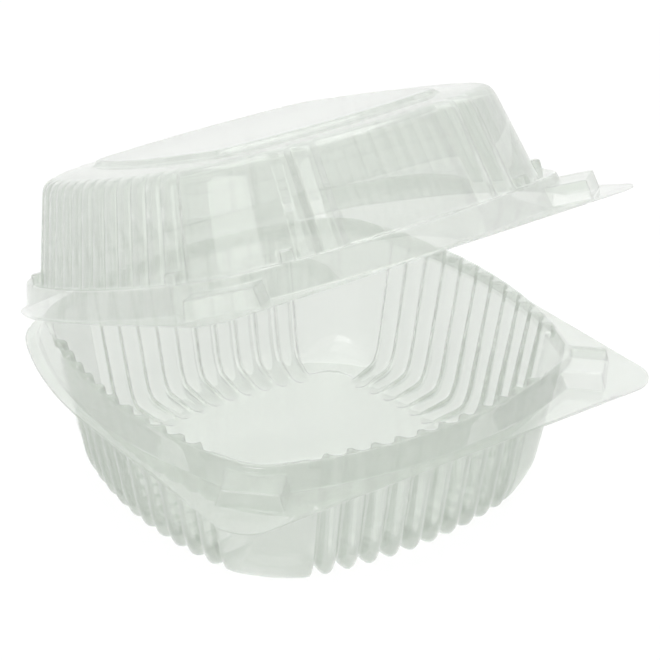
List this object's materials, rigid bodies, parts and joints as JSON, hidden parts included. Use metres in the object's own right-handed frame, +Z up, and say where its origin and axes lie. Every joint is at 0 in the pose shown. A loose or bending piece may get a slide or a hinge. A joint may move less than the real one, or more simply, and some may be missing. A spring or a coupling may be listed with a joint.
{
  "type": "plastic clamshell food pack",
  "caption": "Clear square clamshell pack: fluted tray with raised rim and flange, and a domed, ribbed lid on a fold along the back.",
  "frame": {"origin": "middle of the plane that the tray's feet rest on", "axes": "+Z up, -Y to the front with the two latch corners, X along the fold at the back"},
  "size_m": [0.152, 0.1529, 0.1271],
  "materials": {
    "clear_sheet": "thin clear thermoformed plastic, glossy, with a faint grey-green tint"
  },
  "bodies": {
    "tray": {"tray": "clear_sheet"},
    "lid": {"lid": "clear_sheet"}
  },
  "joints": [
    {"name": "lid_fold", "type": "hinge", "parent": "tray", "child": "lid", "pos_m": [0, 0.0766, 0.03977], "axis": [-1, 0, 0], "range_deg": [-22.66, 152]}
  ]
}
